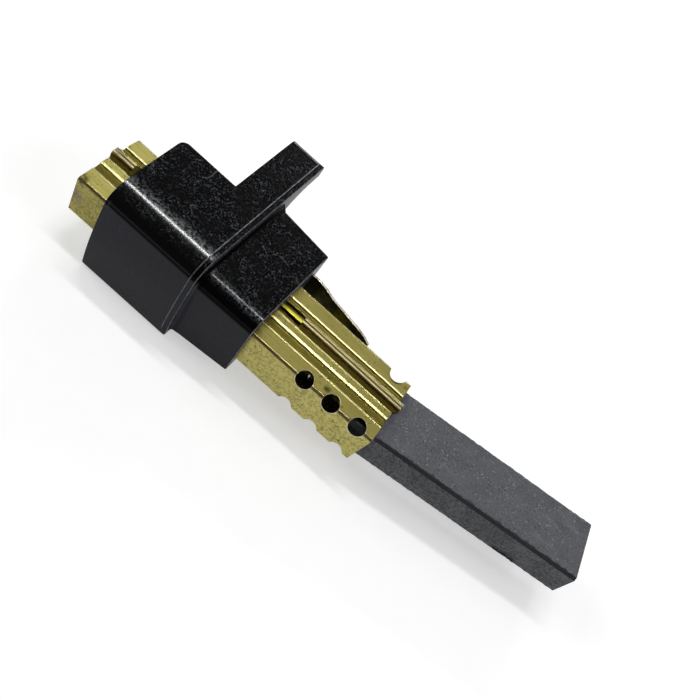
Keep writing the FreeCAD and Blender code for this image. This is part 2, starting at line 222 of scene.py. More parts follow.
def groove_line(left, right, left_fall, right_fall):
    # From the right edge to the left one: each falls gently at first, then steeply to the floor
    return [
        (right, tube_front),
        (right - right_fall, tube_front - right_fall * gentle_fall),
        (right - right_fall - steep_sides[1], tube_front - groove_deep),
        (left + left_fall + steep_sides[0], tube_front - groove_deep),
        (left + left_fall, tube_front - left_fall * gentle_fall),
        (left, tube_front),
    ]


outline = [
    (seam_edges[0], tube_front),
    (channel[1] + rim_slopes[1], tube_front),
    (channel[1], tube_front - rim_drop),
    (channel[1], tube_front - channel_deep),
    (channel[0], tube_front - channel_deep),
    (channel[0], tube_front - rim_drop),
    (channel[0] - rim_slopes[0], tube_front),
    *groove_line(*left_groove),
    (-tube_half, tube_front),
    (-tube_half, tube_back),
    (tube_half, tube_back),
    (tube_half, tube_front),
    *groove_line(*right_groove),
    (lip_line, tube_front),
    (seam_edges[1], tube_front - lip_drop),
]
tube = bent_line("folded_tube", [(tube_rear, y, z) for y, z in outline])
round_corners(tube, lambda c: near(abs(c.y), tube_half), fold_round, 6)
for drop, size, steps in ((rim_drop, channel_round, 5), (channel_deep, channel_floor_round, 2)):
    round_corners(
        tube, lambda c: near(c.z, tube_front - drop) and channel[0] - 0.01 < c.y < channel[1] + 0.01,
        size, steps,
    )
groove_lines = [y for groove in (left_groove, right_groove) for y, z in groove_line(*groove)]
round_corners(
    tube, lambda c: c.z > tube_back + 4 and any(near(c.y, y) for y in groove_lines), groove_round, 3
)
round_corners(tube, lambda c: near(c.y, lip_line), lip_round, 3)
stretch(tube, (tube_mouth - tube_rear, 0, 0))

# The strip's ends are not square: beside the seam it runs on past both of them
for low, high, rear_step, mouth_step in (
    (-6.7, -5.4, -0.3, 0.35),
    (-5.4, -3.0, -0.3, 0.3),
    (-3.0, 0.2, -0.35, 0.2),
    (0.2, 1.0, -0.65, 0.55),
    (1.0, 2.6, -0.9, 0.9),
    (2.6, 2.9, -0.5, 0.4),
    (2.9, 6.0, -0.15, 0.1),
):
    shift(tube, lambda c: near(c.x, tube_rear) and c.z > 11 and low < c.y <= high, (rear_step, 0, 0))
    shift(tube, lambda c: near(c.x, tube_mouth) and c.z > 11 and low < c.y <= high, (mouth_step, 0, 0))
for low, high, rear_step, mouth_step in ((3.0, 5.5, -0.25, -0.15), (5.5, 11.5, -0.15, -0.1)):
    shift(tube, lambda c: near(c.x, tube_rear) and c.y < -6 and low < c.z <= high, (rear_step, 0, 0))
    shift(tube, lambda c: near(c.x, tube_mouth) and c.y < -6 and low < c.z <= high, (mouth_step, 0, 0))
face_outwards(tube)
work(tube, "SOLIDIFY", thickness=sheet, offset=-1, use_even_offset=True)

window_cut = block_between(
    "window_cut", (window[0], window_sides[0], tube_front - window_deep),
    (window[1], window_sides[1], tube_front + 1),
)
round_edges(window_cut, lambda a, b: near(a.x, b.x) and near(a.y, b.y), window_round, 3)
combine(tube, window_cut, "DIFFERENCE")
for number in range(hole_count):
    hole = last_hole - number * hole_pitch
    for high, radius, turn in (
        (tube_front, hole_radius, 45),
        (tube_back - scallop_drop, rear_scallop, -45),
    ):
        drill(tube, (hole, -tube_half, high), radius, punch_depth, (math.radians(turn), 0, 0))
drill(tube, (last_hole, tube_half, tube_front), scallop_radius, punch_depth, (math.radians(-45), 0, 0))


def break_edges(piece, size, angle, clamp=True):
    # Takes the sharpness off the edges that turn by more than the angle
    work(
        piece, "BEVEL", width=size, segments=2, limit_method="ANGLE",
        angle_limit=math.radians(angle), use_clamp_overlap=clamp,
    )


break_edges(tube, cut_round, cut_turn, clamp=False)

# The stop tab is turned up at the rear and holds the lead's end in its hole
stop = block_between(
    "stop", (tube_rear, -stop_half, tube_back + 0.1),
    (tube_rear + sheet, stop_half, tube_back + stop_high),
)
round_edges(stop, lambda a, b: near(a.z, b.z) and near(a.y, b.y) and a.z > 10, stop_round, 3)
drill(stop, (tube_rear, 0, axis_high), stop_hole, punch_depth, (0, math.radians(90), 0))
# Two slips of the sheet stay in the window's front end, bent down as it was punched
slip_start = window[1] - slip_length
slip_end = window[1] + slip_hold
tongue, bent_edge = (
    block_between(name, (slip_start, *low), (slip_end, *high))
    for name, (low, high) in (("tongue", tongue_section), ("bent_edge", bent_section))
)
shift(tongue, lambda c: near(c.x, slip_start), tongue_bend)
shift(bent_edge, lambda c: c.y > 0, bent_lean)
shift(bent_edge, lambda c: c.y > 0 and near(c.x, slip_start), bent_splay)
for slip in (tongue, bent_edge):
    break_edges(slip, slip_round, slip_turn)


def join(piece, *others):
    make_active(piece)
    for other in others:
        other.select_set(True)
    bpy.ops.object.join()


join(tube, stop, tongue, bent_edge)


def finish_piece(piece, body, nodes, materials, angle=30):
    # Millimetres become metres, and the piece takes its place in the frame
    make_active(piece)
    piece.scale = (MM, MM, MM)
    bpy.ops.object.transform_apply(location=True, rotation=True, scale=True)
    bpy.ops.object.shade_smooth_by_angle(angle=math.radians(angle))
    work(piece, "WEIGHTED_NORMAL", keep_sharp=True, weight=100)
    for material in materials[len(piece.data.materials):]:
        piece.data.materials.append(material)
    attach(piece, body)
    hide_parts(*nodes)


def feed(tree, socket, setting):
    # A socket takes either another node's output or a fixed setting
    if hasattr(setting, "links"):
        tree.links.new(setting, socket)
    else:
        socket.default_value = setting


def new_material(name):
    material = bpy.data.materials.new(name)
    material.use_nodes = True
    tree = material.node_tree
    where = tree.nodes.new("ShaderNodeTexCoord")
    return material, tree, tree.nodes["Principled BSDF"], where.outputs["Object"], where.outputs["Normal"]


def add(tree, kind, **sockets):
    node = tree.nodes.new(kind)
    for name, setting in sockets.items():
        feed(tree, node.inputs[name.replace("_", " ")], setting)
    return node


def reckon(tree, operation, *numbers):
    node = tree.nodes.new("ShaderNodeMath")
    node.operation = operation
    for spot, number in enumerate(numbers):
        feed(tree, node.inputs[spot], number)
    return node.outputs[0]


def times(tree, *numbers):
    return reckon(tree, "MULTIPLY", *numbers)


def plus(tree, *numbers):
    return reckon(tree, "ADD", *numbers)


def larger(tree, *numbers):
    return reckon(tree, "MAXIMUM", *numbers)


def ramp(tree, number, start, end, low=0.0, high=1.0):
    # Gives low at start and high at end, with an even change between them
    return add(
        tree, "ShaderNodeMapRange", Value=number, From_Min=start, From_Max=end, To_Min=low, To_Max=high
    ).outputs["Result"]


def step_at(tree, number, start, end, low=0.0, high=1.0):
    # The same over a length, with start and end in millimetres
    return ramp(tree, number, start * MM, end * MM, low, high)


def between(tree, number, low, high, soft):
    # A mask of the band from low to high, which are millimetres
    rise = step_at(tree, number, low - soft, low + soft)
    return times(tree, rise, step_at(tree, number, high - soft, high + soft, 1.0, 0.0))


def parts_of(tree, vector):
    split = add(tree, "ShaderNodeSeparateXYZ", Vector=vector).outputs
    return split["X"], split["Y"], split["Z"]


def around(tree, place, spot, reach):
    # A soft round mask about one spot, in millimetres
    node = tree.nodes.new("ShaderNodeVectorMath")
    node.operation = "DISTANCE"
    feed(tree, node.inputs[0], place)
    node.inputs[1].default_value = [n * MM for n in spot]
    return step_at(tree, node.outputs["Value"], reach, 0.4 * reach)


def mixed(tree, mask, first, second):
    node = tree.nodes.new("ShaderNodeMix")
    node.data_type = "RGBA"
    feed(tree, node.inputs[0], mask)
    for spot, colour in ((6, first), (7, second)):
        feed(tree, node.inputs[spot], colour if hasattr(colour, "links") else (*colour, 1))
    return node.outputs[2]


def noise(tree, place, scale, detail):
    return add(tree, "ShaderNodeTexNoise", Vector=place, Scale=scale, Detail=detail).outputs["Fac"]


def new_group(name, numbers):
    tree = bpy.data.node_groups.new(name, "ShaderNodeTree")
    tree.interface.new_socket("Place", in_out="INPUT", socket_type="NodeSocketVector")
    for number in numbers:
        tree.interface.new_socket(number, in_out="INPUT", socket_type="NodeSocketFloat")
    tree.interface.new_socket("Mask", in_out="OUTPUT", socket_type="NodeSocketFloat")
    return tree, tree.nodes.new("NodeGroupInput").outputs


def use_group(tree, group, **sockets):
    node = tree.nodes.new("ShaderNodeGroup")
    node.node_tree = group
    for name, setting in sockets.items():
        feed(tree, node.inputs[name], setting)
    return node.outputs["Mask"]


# Spots of one size, from few to many, with soft or hard borders
speckle, given = new_group("speckle", ("Scale", "Level", "Softness"))
grain = noise(speckle, given["Place"], given["Scale"], 4.0)
full = plus(speckle, given["Level"], given["Softness"])
add(speckle, "NodeGroupOutput", Mask=ramp(speckle, grain, given["Level"], full))

# Short curly strokes: thin level lines of one noise, broken up by another
strokes, given = new_group("strokes", ("Scale", "Width", "Gaps"))
swirl = noise(strokes, given["Place"], given["Scale"], 1.0)
off_level = reckon(strokes, "ABSOLUTE", reckon(strokes, "SUBTRACT", swirl, 0.5))
line = ramp(strokes, off_level, given["Width"], 0.0)
breaks = noise(strokes, given["Place"], times(strokes, given["Scale"], 1.3), 2.0)
kept = ramp(strokes, breaks, given["Gaps"], plus(strokes, given["Gaps"], 0.08))
add(strokes, "NodeGroupOutput", Mask=times(strokes, line, kept))

brass, tree, shader, place, facing = new_material("brass_sheet")
clean_brass = (0.36, 0.318, 0.094)
dull_brass = (0.29, 0.25, 0.068)
side_brass = (0.5, 0.45, 0.15)
rear_brass = (0.62, 0.56, 0.17)
slope_brass = (0.29, 0.27, 0.14)
groove_brass = (0.16, 0.133, 0.022)
dark_tarnish_and_shade = (0.08, 0.055, 0.006)
ridge_brass = (0.28, 0.22, 0.12)
tongue_highlight = (0.95, 0.86, 0.07)
stain_brown = (0.05, 0.034, 0.012)
end_grey = (0.15, 0.12, 0.1)
crease_tarnish_and_shade = (0.14, 0.096, 0.035)
painted_rim_highlight = (0.85, 0.8, 0.66)
side_border = (6.4, 6.6)
rear_border = (-8, -9)
slope_tilt = (0.08, 0.16)
slope_height = (11.9, 12.05)
floor_height = (11.84, 12.02)
channel_height = (11.3, 11.95)
ridge_band = (1.15, 2.3)
ridge_height = (11.75, 11.85)
crease_top = (-0.22, -0.3)
crease_foot = (-0.95, -0.88)
rim_ring = (1.3, 1.49)
along, across, up = parts_of(tree, place)
sideways = parts_of(tree, facing)[1]
haze = use_group(tree, speckle, Place=place, Scale=170.0, Level=0.4, Softness=0.3)
long_place = add(tree, "ShaderNodeMapping", Vector=place, Scale=(0.03, 1, 1)).outputs["Vector"]
drawn_lines = use_group(tree, speckle, Place=long_place, Scale=2600.0, Level=0.45, Softness=0.2)
specks = use_group(tree, speckle, Place=place, Scale=1900.0, Level=0.63, Softness=0.06)
side_specks = use_group(tree, speckle, Place=place, Scale=2600.0, Level=0.53, Softness=0.1)
blotches = use_group(tree, speckle, Place=place, Scale=600.0, Level=0.66, Softness=0.05)
crazing = use_group(tree, strokes, Place=place, Scale=900.0, Width=0.05, Gaps=0.4)

# Hazy brass, paler on the sides in front of the holder, and at the rear end
colour = mixed(tree, haze, clean_brass, dull_brass)
on_side = step_at(tree, reckon(tree, "ABSOLUTE", across), *side_border)
side_front = step_at(tree, times(tree, on_side, along), 0, 10, 0.0, 0.9)
colour = mixed(tree, side_front, colour, side_brass)
at_rear = times(tree, step_at(tree, along, *rear_border, 0.0, 0.85), ramp(tree, on_side, 1.0, 0.0))
colour = mixed(tree, at_rear, colour, rear_brass)

# The folds differ in tone: grey slopes, dark floors, and a dark brown channel that is partly tarnish and
# partly painted shade
tilt = ramp(tree, reckon(tree, "ABSOLUTE", sideways), *slope_tilt)
on_slope = times(tree, tilt, step_at(tree, up, *slope_height))
colour = mixed(tree, times(tree, on_slope, 0.8), colour, slope_brass)
colour = mixed(tree, times(tree, drawn_lines, 0.18), colour, groove_brass)
groove_floor = between(tree, up, *floor_height, 0.02)
for low, high, left_fall, right_fall in (left_groove, right_groove):
    in_groove = between(tree, across, low + left_fall + 0.1, high - right_fall - 0.1, 0.08)
    colour = mixed(tree, times(tree, groove_floor, in_groove), colour, groove_brass)
# Painted shade with tarnish: the deep seam channel is darkened
in_channel = between(tree, across, channel[0] - 0.1, channel[1] + 0.1, 0.05)
in_channel = times(tree, in_channel, between(tree, up, *channel_height, 0.06))
colour = mixed(tree, in_channel, colour, dark_tarnish_and_shade)

# Tarnish: specks all over, crazing on the sides, and cloudy stains in a few places; the two dark patches
# at the plug block's end are painted shade
side_marks = times(tree, larger(tree, side_specks, crazing), on_side)
for mask, strength in ((specks, 0.7), (side_marks, 0.45), (blotches, 0.5)):
    colour = mixed(tree, times(tree, mask, strength), colour, stain_brown)
cloudy = ramp(tree, noise(tree, place, 1300.0, 3.0), 0.35, 0.6, 0.25, 0.9)
for spot, reach, tone in (
    ((-14.4, -6.1, 12.0), 1.3, stain_brown),
    ((-14.8, -6.7, 8.5), 2.4, end_grey),
    ((32.3, -5.0, 12.2), 0.9, stain_brown),
    # Painted shade: the next two patches darken the brass just in front of the plug block's end
    ((18.7, -2.6, 12.2), 2.0, dark_tarnish_and_shade),
    ((18.7, -6.0, 12.2), 1.5, dark_tarnish_and_shade),
    ((42.0, 0.8, 11.8), 1.4, dark_tarnish_and_shade),
):
    patch = times(tree, around(tree, place, spot, reach), cloudy)
    colour = mixed(tree, patch, colour, tone)

# A painted highlight lies along the left half of the tongue in the window, and the ridge that holds the
# seam is worn dull
# Painted highlight: the lit strip of the tongue is nearly white-yellow
lit_tongue_strip = times(
    tree, between(tree, along, 18.0, 22.9, 0.05), between(tree, across, 1.4, 1.95, 0.08)
)
lit_tongue_strip = times(tree, lit_tongue_strip, between(tree, up, 11.2, 12.0, 0.02))
colour = mixed(tree, lit_tongue_strip, colour, tongue_highlight)
on_ridge = times(tree, between(tree, across, *ridge_band, 0.05), step_at(tree, up, *ridge_height))
colour = mixed(tree, times(tree, on_ridge, 0.6), colour, ridge_brass)

# The left crease is painted brown, partly tarnish and partly painted shade along the fold, and painted
# highlights lie on the pale rims round its holes, brightest on their lower side
# Painted shade with tarnish along the round of the left crease
on_crease = times(tree, ramp(tree, sideways, *crease_top), ramp(tree, sideways, *crease_foot))
on_crease = times(tree, on_crease, step_at(tree, across, -6.0, -6.1))
on_crease = times(tree, on_crease, step_at(tree, up, 11.2, 11.4))
colour = mixed(tree, on_crease, colour, crease_tarnish_and_shade)
off_side = plus(tree, across, tube_half * MM)
off_crease = plus(tree, off_side, reckon(tree, "SUBTRACT", up, tube_front * MM))
off_crease = times(tree, off_crease, math.sqrt(0.5))
# Painted highlight: pale rims round the holes, brightest on their lower, lit side
rim_lit_side = times(tree, step_at(tree, up, 9.0, 9.2), step_at(tree, off_crease, 0.4, -0.2, 0.3, 1.0))
for number in range(hole_count):
    off_hole = reckon(tree, "SUBTRACT", along, (last_hole - number * hole_pitch) * MM)
    squares = plus(tree, times(tree, off_hole, off_hole), times(tree, off_crease, off_crease))
    on_rim = between(tree, reckon(tree, "SQRT", squares), *rim_ring, 0.02)
    on_rim = times(tree, times(tree, on_rim, rim_lit_side), cloudy)
    colour = mixed(tree, on_rim, colour, painted_rim_highlight)
feed(tree, shader.inputs["Base Color"], colour)
feed(tree, shader.inputs["Metallic"], ramp(tree, on_crease, 0.0, 1.0, 1.0, 0.15))
rough = plus(tree, ramp(tree, haze, 0, 1, 0.27, 0.3), times(tree, on_side, 0.2))
rough = plus(tree, rough, times(tree, on_ridge, 0.12))
feed(tree, shader.inputs["Roughness"], rough)
height = plus(tree, drawn_lines, times(tree, specks, -2.0))
bump = add(tree, "ShaderNodeBump", Strength=0.02, Distance=0.000004, Height=height)
feed(tree, shader.inputs["Normal"], bump.outputs["Normal"])
finish_piece(tube, "holder", ["brush_tube"], [brass])

# Holder: one black phenolic moulding with mica-like flecks in its gloss, partly painted
# sparkle of light. The main block has a large round along its left front edge, the flat ear
# stands out to the side, and the drafted plug block carries the tube forward.
block_half = 8.4
block_left = -9.3
block_right = 7.2
block_front = 18.3
block_round = 4.0
round_wide = 4.9
round_high = 3.15
rear_round = 1.3
side_crown = 0.45
rim_bevel = 0.6
step_band = 0.93
step_drop = 0.18
ear_rear = 1.9
ear_root = 12.8
ear_root_back = 4.0
ear_tip = 23.6
ear_tip_back = 15.9
ear_bend = 1.2
ear_bend_drop = 0.7
ear_bend_round = 7
tip_band = 0.8
tip_lift = 0.43
plug_end = 18.9
plug_left = -8.35
plug_right = 12.75
plug_back = 2.05
plug_front = 15.95
plug_round = 2.8
plug_foot = 0.75
# Each step of the foot: its length, and what it takes off the width and the height
foot_steps = ((0.15, 0), (0.35, 0.55), (0.5, 0.2))
foot_length = 1
foot_run = 0.7
plug_root = 8.3
plug_draft = 0.5
plug_rim = 0.12
side_band = 0.5
pale_edge_line = 0.08
softening = 0.2
fit_gap = 0.02
leaf_side = 10.0
slot_half = 0.35
slot_ends = (5.4, 12.3)

phenolic, tree, shader, place, facing = new_material("phenolic")
deep_black = (0.001, 0.0011, 0.0014)
fleck_grey = (0.08, 0.085, 0.092)
scuffed_grey = (0.062, 0.063, 0.074)
scratch_grey = (0.15, 0.155, 0.165)
# Painted glow beside the highlight on the rounds
painted_glow_grey = (0.3, 0.31, 0.32)
front_tilt = (0.75, 0.97)
left_tilt = (0.24, 0.11)
polish_start = (0.36, 0.5)
polish_end = (0.985, 0.999)
block_glow_band = (-6.5, -5.9, -5.7, -4.2)
plug_glow_band = (-6.9, -6.2, -6.0, -5.0)
along, across, up = parts_of(tree, place)
lying = reckon(tree, "ABSOLUTE", parts_of(tree, facing)[2])
coarse_flecks = use_group(tree, strokes, Place=place, Scale=1000.0, Width=0.04, Gaps=0.5)
fine_flecks = use_group(tree, strokes, Place=place, Scale=2300.0, Width=0.07, Gaps=0.5)
scratches = use_group(tree, strokes, Place=place, Scale=150.0, Width=0.006, Gaps=0.58)
cloud = use_group(tree, speckle, Place=place, Scale=330.0, Level=0.42, Softness=0.2)
dust = use_group(tree, speckle, Place=place, Scale=1500.0, Level=0.5, Softness=0.2)
glow_specks = use_group(tree, speckle, Place=place, Scale=2600.0, Level=0.42, Softness=0.2)

# Flecks lie on the front, fewer where the moulding is cloudy, with a film of dust. The flecks are partly
# filler and partly painted sparkle of light off the rough gloss, so they keep to the wide faces
flecks = larger(tree, coarse_flecks, times(tree, fine_flecks, 0.7))
flecks = times(tree, flecks, ramp(tree, cloud, 0, 1, 1.0, 0.25))
flecks = larger(tree, flecks, times(tree, dust, 0.05))
# Painted sparkle: the flecks are kept to the wide faces
flecks = times(tree, flecks, ramp(tree, lying, *front_tilt))

# The left sides keep the mould's matt grey skin, the round between them is polished black
colour = mixed(tree, ramp(tree, lying, *left_tilt), deep_black, scuffed_grey)
colour = mixed(tree, flecks, colour, fleck_grey)
colour = mixed(tree, times(tree, scratches, 0.6), colour, scratch_grey)


def hump(tree, number, start, full, fading, end):
    # A mask that rises from start to full and fades again to the end, in millimetres
    return times(tree, step_at(tree, number, start, full), step_at(tree, number, end, fading))


# A painted speckled glow lies beside the highlight along the top of both rounds
on_block = step_at(tree, along, 8.4, 8.3)
on_plug = ramp(tree, on_block, 0.0, 1.0, 0.7, 0.0)
round_glow = plus(
    tree, times(tree, hump(tree, across, *block_glow_band), on_block),
    times(tree, hump(tree, across, *plug_glow_band), on_plug),
)
round_glow = times(tree, times(tree, round_glow, glow_specks), 0.6)
colour = mixed(tree, times(tree, round_glow, ramp(tree, lying, 0.6, 0.9)), colour, painted_glow_grey)
feed(tree, shader.inputs["Base Color"], colour)

# The rounds are polished, the plug's less, and not the corner under the step nor the step's band
in_corner = times(tree, between(tree, along, 8.42, 10.3, 0.05), step_at(tree, across, -8.38, -8.48))
rough = larger(tree, ramp(tree, cloud, 0, 1, 0.24, 0.3), times(tree, in_corner, 0.9))
feed(tree, shader.inputs["Roughness"], rough)
shader.inputs["Specular IOR Level"].default_value = 0.03
polish = ramp(tree, lying, *polish_start, 0.03, 0.95)
end_tilt = reckon(tree, "ABSOLUTE", parts_of(tree, facing)[0])
for lessening in (
    ramp(tree, lying, *polish_end, 1.0, 0.03),
    ramp(tree, end_tilt, 0.08, 0.16, 1.0, 0.1),
    ramp(tree, on_block, 0.0, 1.0, 0.4, 1.0),
    ramp(tree, in_corner, 0.0, 1.0, 1.0, 0.0),
):
    polish = times(tree, polish, lessening)
feed(tree, shader.inputs["Coat Weight"], polish)
shader.inputs["Coat Roughness"].default_value = 0.15
bump = add(tree, "ShaderNodeBump", Strength=0.3, Distance=0.00003, Height=flecks)
feed(tree, shader.inputs["Normal"], bump.outputs["Normal"])

# Pale edge lines: partly wear, partly painted edge highlight
edge_wear_and_highlight, tree, shader, place, facing = new_material("phenolic_worn_edge")
pale_wear_and_highlight = (0.16, 0.165, 0.175)
edge_patch_dark = (0.05, 0.052, 0.056)
edge_patches = use_group(tree, speckle, Place=place, Scale=1500.0, Level=0.38, Softness=0.2)
feed(tree, shader.inputs["Base Color"], mixed(tree, edge_patches, pale_wear_and_highlight, edge_patch_dark))
feed(tree, shader.inputs["Roughness"], ramp(tree, edge_patches, 0, 1, 0.35, 0.5))


def dress(piece, *materials):
    for material in materials:
        piece.data.materials.append(material)


holder = block_between("holder", (-block_half, block_left, 0), (block_half, block_right, block_front))
dress(holder, phenolic, edge_wear_and_highlight)
round_edges(
    holder, lambda a, b: near(a.y, block_left) and near(b.y, block_left)
    and near(a.z, block_front) and near(b.z, block_front), block_round, 16,
)
# The round runs out longer on the front than on the side
pick(
    holder, "VERT", lambda c: c.y < block_left + block_round + 0.01
    and c.z > block_front - block_round - 0.01,
)
bpy.ops.transform.resize(
    value=(1, round_wide / block_round, round_high / block_round),
    center_override=(0, block_left, block_front),
)
bpy.ops.object.mode_set(mode="OBJECT")
round_edges(
    holder, lambda a, b: near(a.x, -block_half) and near(b.x, -block_half)
    and near(a.y, block_right) and near(b.y, block_right), rear_round, 6,
)
# Its left side is slightly crowned
pick(
    holder, "EDGE", lambda a, b: near(a.y, block_left) and near(b.y, block_left)
    and near(a.x, b.x) and abs(a.z - b.z) > 5,
)
crown_steps = 7
bpy.ops.mesh.subdivide(number_cuts=crown_steps)
bpy.ops.object.mode_set(mode="OBJECT")
flat_side = block_front - round_high
for number in range(1, crown_steps + 1):
    share = number / (crown_steps + 1)
    shift(
        holder, lambda c: near(c.y, block_left) and near(c.z, flat_side * share),
        (0, -side_crown * math.sin(math.pi * share), 0),
    )
round_edges(holder, lambda a, b: near(a.z, 0) and near(b.z, 0), rim_bevel, 2)

ear = bent_line("ear", [
    (ear_rear, block_right - 1, block_front),
    (ear_rear, block_right - 1, ear_root_back),
    (ear_rear, ear_root, ear_root_back),
    (ear_rear, ear_root + ear_bend, ear_tip_back - ear_bend_drop),
    (ear_rear, ear_tip, ear_tip_back),
    (ear_rear, ear_tip, block_front),
])
round_corners(ear, lambda c: near(c.y, ear_root + ear_bend), ear_bend_round, 10)


def close_outline(piece):
    open_whole(piece)
    bpy.ops.mesh.edge_face_add()
    bpy.ops.object.mode_set(mode="OBJECT")


close_outline(ear)
stretch(ear, (block_half - ear_rear, 0, 0))
face_outwards(ear)
dress(ear, phenolic, edge_wear_and_highlight)
# The tip has a flat broken edge
round_edges(
    ear, lambda a, b: near(a.y, ear_tip) and near(b.y, ear_tip)
    and near(a.z, block_front) and near(b.z, block_front), tip_band, 1,
)
shift(ear, lambda c: near(c.z, block_front - tip_band), (0, 0, tip_lift))
combine(holder, ear, "UNION")
open_whole(holder)
bpy.ops.mesh.dissolve_limited(angle_limit=math.radians(0.3))
bpy.ops.object.mode_set(mode="OBJECT")


def soften(piece, size, test):
    # Rounds the sharp edges that pass the test
    pick(piece, "EDGE", lambda a, b: False)
    bpy.ops.mesh.edges_select_sharp(sharpness=math.radians(35))
    bpy.ops.object.mode_set(mode="OBJECT")
    for edge in piece.data.edges:
        a, b = (piece.data.vertices[i].co for i in edge.vertices)
        edge.select = edge.select and test(a, b)
    bpy.ops.object.mode_set(mode="EDIT")
    bpy.ops.mesh.bevel(offset=size, segments=2, affect="EDGES")
    bpy.ops.object.mode_set(mode="OBJECT")


soften(holder, softening, lambda a, b: not (near(a.x, block_half) and near(b.x, block_half)))

# A shallow band ends the front and the left side at the step; both its lines are pale, partly wear and
# partly painted edge highlight
open_whole(holder)
bpy.ops.mesh.bisect(plane_co=(block_half - step_band, 0, 0), plane_no=(1, 0, 0))
bpy.ops.object.mode_set(mode="OBJECT")
round_middle = (block_half, block_left + round_wide, block_front - round_high)
shift(
    holder, lambda c: near(c.x, block_half) and c.y > round_middle[1] + 0.01
    and c.z > block_front - 0.5, (0, 0, -step_drop),
)
shift(
    holder, lambda c: near(c.x, block_half) and c.y < block_left + 0.01
    and 0.5 < c.z < round_middle[2] + 0.01, (0, step_drop, 0),
)
pick(
    holder, "VERT", lambda c: near(c.x, block_half) and c.y < round_middle[1] + 0.01
    and c.z > round_middle[2] + 0.01,
)
bpy.ops.transform.resize(
    value=(1, 1 - step_drop / round_wide, 1 - step_drop / round_high), center_override=round_middle
)
bpy.ops.object.mode_set(mode="OBJECT")


def on_outside(c):
    return c.z > block_front - 0.5 or (c.y < round_middle[1] and c.z > 0.7)


for line_place in (block_half - step_band, block_half):
    round_edges(
        holder, lambda a, b: near(a.x, line_place) and near(b.x, line_place)
        and on_outside(a) and on_outside(b), pale_edge_line, 1, 1,
    )
round_edges(
    holder, lambda a, b: near(a.y, ear_tip - tip_band, 0.05) and near(b.y, ear_tip - tip_band, 0.05)
    and a.z > block_front - 0.1 and b.z > block_front - 0.1, pale_edge_line, 1, 1,
)

plug = bent_line("plug_block", [
    (plug_root, plug_right, plug_back),
    (plug_root, plug_right, plug_front + plug_foot),
    (plug_root, plug_left - plug_foot, plug_front + plug_foot),
    (plug_root, plug_left - plug_foot, plug_back),
])
round_corners(plug, lambda c: c.y < 0 and c.z > 9, plug_round, 10)
close_outline(plug)
open_whole(plug)
wide = plug_right - plug_left + plug_foot
high = plug_front - plug_back + plug_foot
plug_corner = (0, plug_right, plug_back)
for length, less in foot_steps:
    # The foot falls in on the left and the front only
    bpy.ops.mesh.extrude_region_move(TRANSFORM_OT_translate={"value": (length, 0, 0)})
    bpy.ops.transform.resize(
        value=(1, (wide - less) / wide, (high - less) / high), center_override=plug_corner
    )
    wide -= less
    high -= less
plug_middle = (0, plug_right - wide / 2, plug_back + high / 2)
run = plug_end - plug_root - foot_length
bpy.ops.mesh.extrude_region_move(TRANSFORM_OT_translate={"value": (run, 0, 0)})
bpy.ops.transform.resize(
    value=(1, (wide - 2 * plug_draft) / wide, (high - 2 * plug_draft) / high), center_override=plug_middle
)
bpy.ops.object.mode_set(mode="OBJECT")
face_outwards(plug)
dress(plug, phenolic, edge_wear_and_highlight)
# At the back of its left side the foot runs out further
shift(plug, lambda c: 9 < c.x < 10 and c.y < 0 and c.z < 5, (foot_run, 0, 0))
round_edges(
    plug, lambda a, b: abs(a.x - b.x) > 5 and min(a.y, b.y) > 11 and min(a.z, b.z) > 14,
    side_band, 1,
)
round_edges(plug, lambda a, b: a.x > plug_end - 0.1 and b.x > plug_end - 0.1, plug_rim, 1, 1)
round_edges(
    plug, lambda a, b: abs(a.x - b.x) > 5 and 11 < min(a.y, b.y) < plug_right - 0.3 and min(a.z, b.z) > 15,
    pale_edge_line, 1, 1,
)
combine(holder, plug, "UNION")
passage = block_between(
    "passage", (-block_half - 1, -tube_half - fit_gap, tube_back - fit_gap),
    (plug_end + 1, tube_half + fit_gap, tube_front + fit_gap),
)
combine(holder, passage, "DIFFERENCE")
slot_cut = block_between(
    "slot_cut", (ear_rear - 1, leaf_side - slot_half, slot_ends[0]),
    (plug_end + 1, leaf_side + slot_half, slot_ends[1]),
)
combine(holder, slot_cut, "DIFFERENCE")
finish_piece(holder, "holder", ["holder_body"], [phenolic, edge_wear_and_highlight])

# Contact leaf: a strip of the same brass, pressed into a slot of the plug block. It bows
# outward and springs against the tube's right side, and joins tube and terminal.
leaf_thick = 0.4
leaf_width = 6.5
leaf_base = 5.6
leaf_bend = 0.6
leaf_round = 0.06
leaf_turn = 50
leaf_path = [
    (2.7, 10.0),
    (20.3, 10.0),
    (22.0, 9.72),
    (23.5, 9.08),
    (26.5, 8.52),
    (30.1, 7.9),
    (31.6, 7.4),
    (32.5, 6.86),
]
leaf = bent_line("contact_leaf_strip", [(x, y, leaf_base) for x, y in leaf_path])
round_corners(leaf, lambda c: 20 < c.x < 32, leaf_bend, 3)
stretch(leaf, (0, 0, leaf_width))
face_outwards(leaf)
work(leaf, "SOLIDIFY", thickness=leaf_thick, offset=0, use_even_offset=True)
break_edges(leaf, leaf_round, leaf_turn)

leaf_brass, tree, shader, place, facing = new_material("leaf_brass")
leaf_olive = (0.16, 0.14, 0.022)
leaf_black = (0.012, 0.011, 0.006)
cut_edge = (0.34, 0.31, 0.27)
along, across, up = parts_of(tree, place)
tarnish = use_group(tree, speckle, Place=place, Scale=230.0, Level=0.47, Softness=0.2)
fine_tarnish = use_group(tree, speckle, Place=place, Scale=1500.0, Level=0.55, Softness=0.1)
colour = mixed(tree, tarnish, leaf_olive, leaf_black)
colour = mixed(tree, times(tree, fine_tarnish, 0.6), colour, leaf_black)
